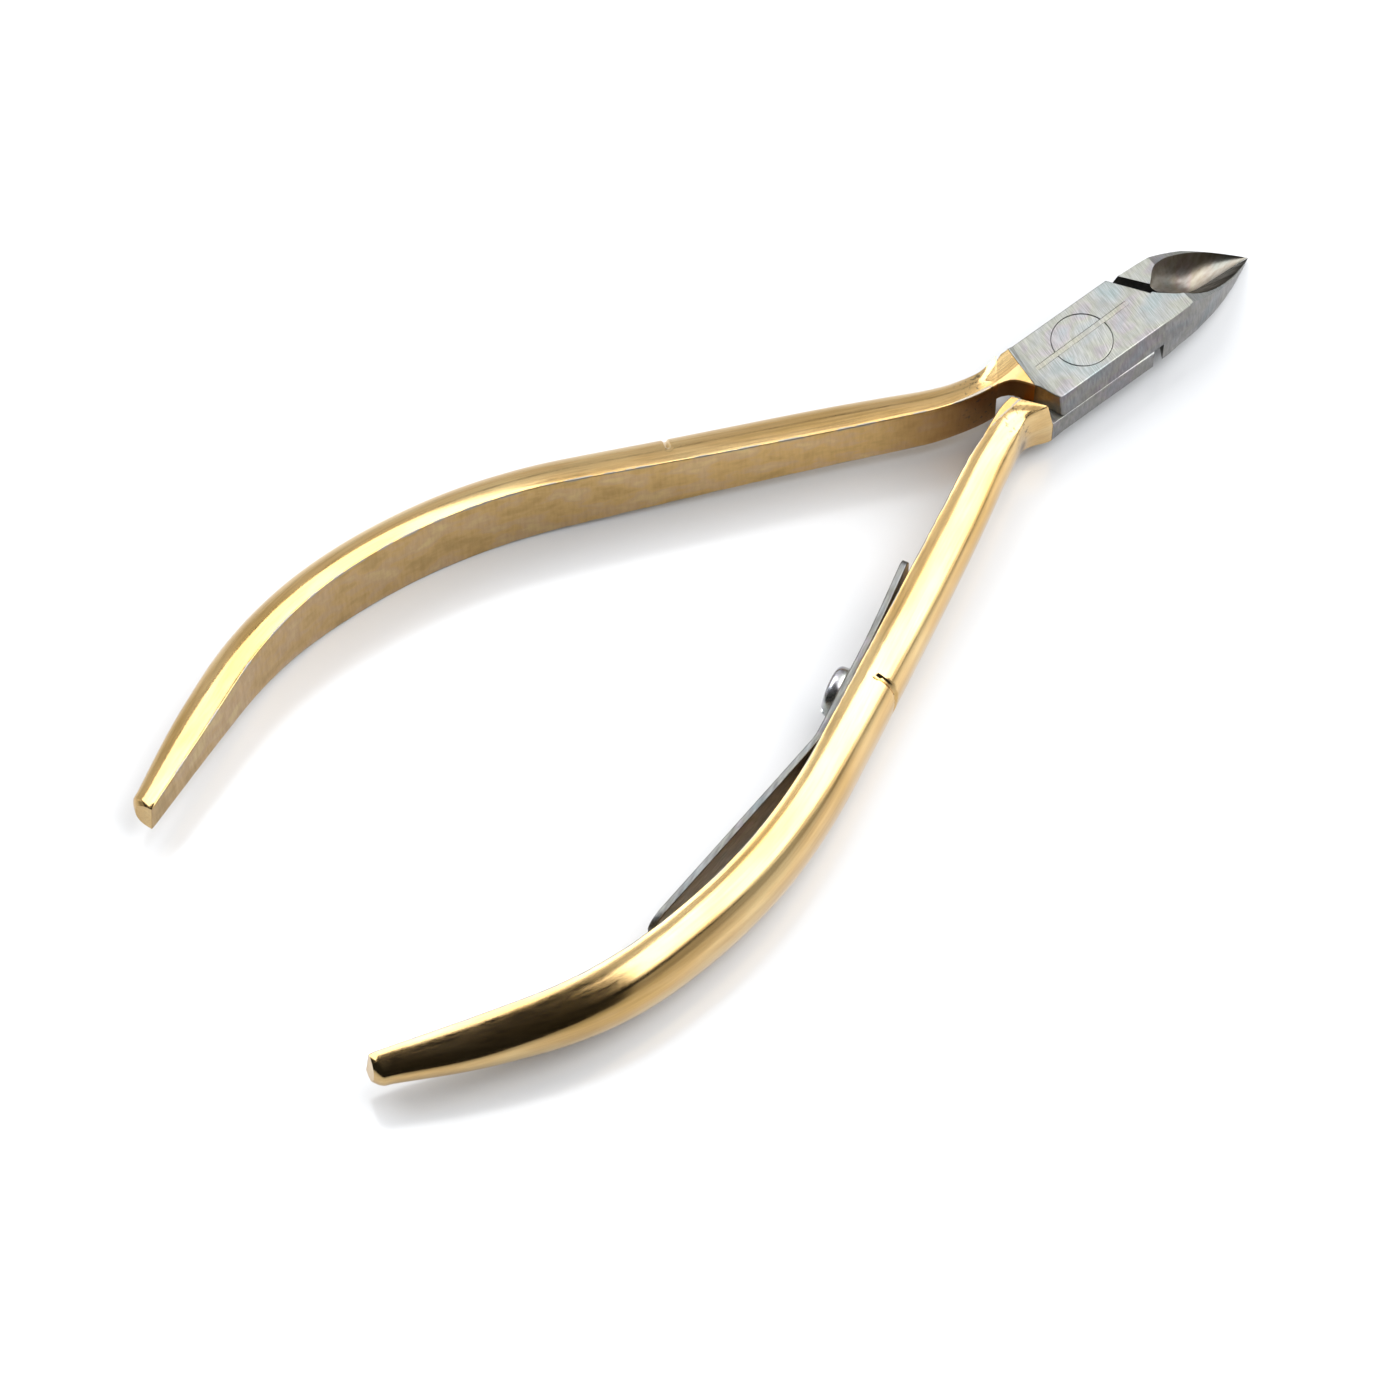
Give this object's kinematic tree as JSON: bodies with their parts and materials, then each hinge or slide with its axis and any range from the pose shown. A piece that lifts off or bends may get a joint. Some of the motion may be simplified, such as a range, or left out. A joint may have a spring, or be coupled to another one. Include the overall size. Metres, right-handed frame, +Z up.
{
  "type": "cuticle nipper",
  "caption": "Lap-jointed cuticle nipper: two plated handles bowed apart, bare steel head with a flush rivet, hollow-ground pointed jaws and a bent leaf spring screwed to one handle.",
  "frame": {"origin": "on the pivot's axis, at the underside of the head (the bottom of the flat plate below the lap)", "axes": "+X from the pivot to the points of the jaws, -X to the ends of the handles; +Y to the side of the upper lever's handle; +Z up out of the flat top of the head"},
  "size_m": [0.1032, 0.0468, 0.0076],
  "materials": {
    "gold_plated_steel": "gold plating on forged steel handles, polished on the backs and satin on the flat inner faces, with the head ground back to bare steel",
    "bare_steel": "ground flat together with the head, fine cross grinding",
    "strip_metal": "inlaid strip, ground flush",
    "spring_steel": "dark, oil-tempered strip with a dull sheen",
    "screw_steel": "polished domed head"
  },
  "bodies": {
    "upper_half": {"upper_lever": "gold_plated_steel", "pivot_rivet": "bare_steel", "lock_strip": "strip_metal"},
    "lower_half": {"lower_lever": "gold_plated_steel", "spring_screw": "screw_steel"},
    "spring": {"leaf_spring": "spring_steel"}
  },
  "joints": [
    {"name": "jaw_pivot", "type": "hinge", "parent": "upper_half", "child": "lower_half", "pos_m": [0, 0, 0], "axis": [0, 0, 1], "range_deg": [0, 20]},
    {"name": "spring_swing", "type": "hinge", "parent": "lower_half", "child": "spring", "pos_m": [-0.035, -0.01256, 0.0023], "axis": [-0.4321, 0.9018, 0], "range_deg": [0, 160]}
  ]
}
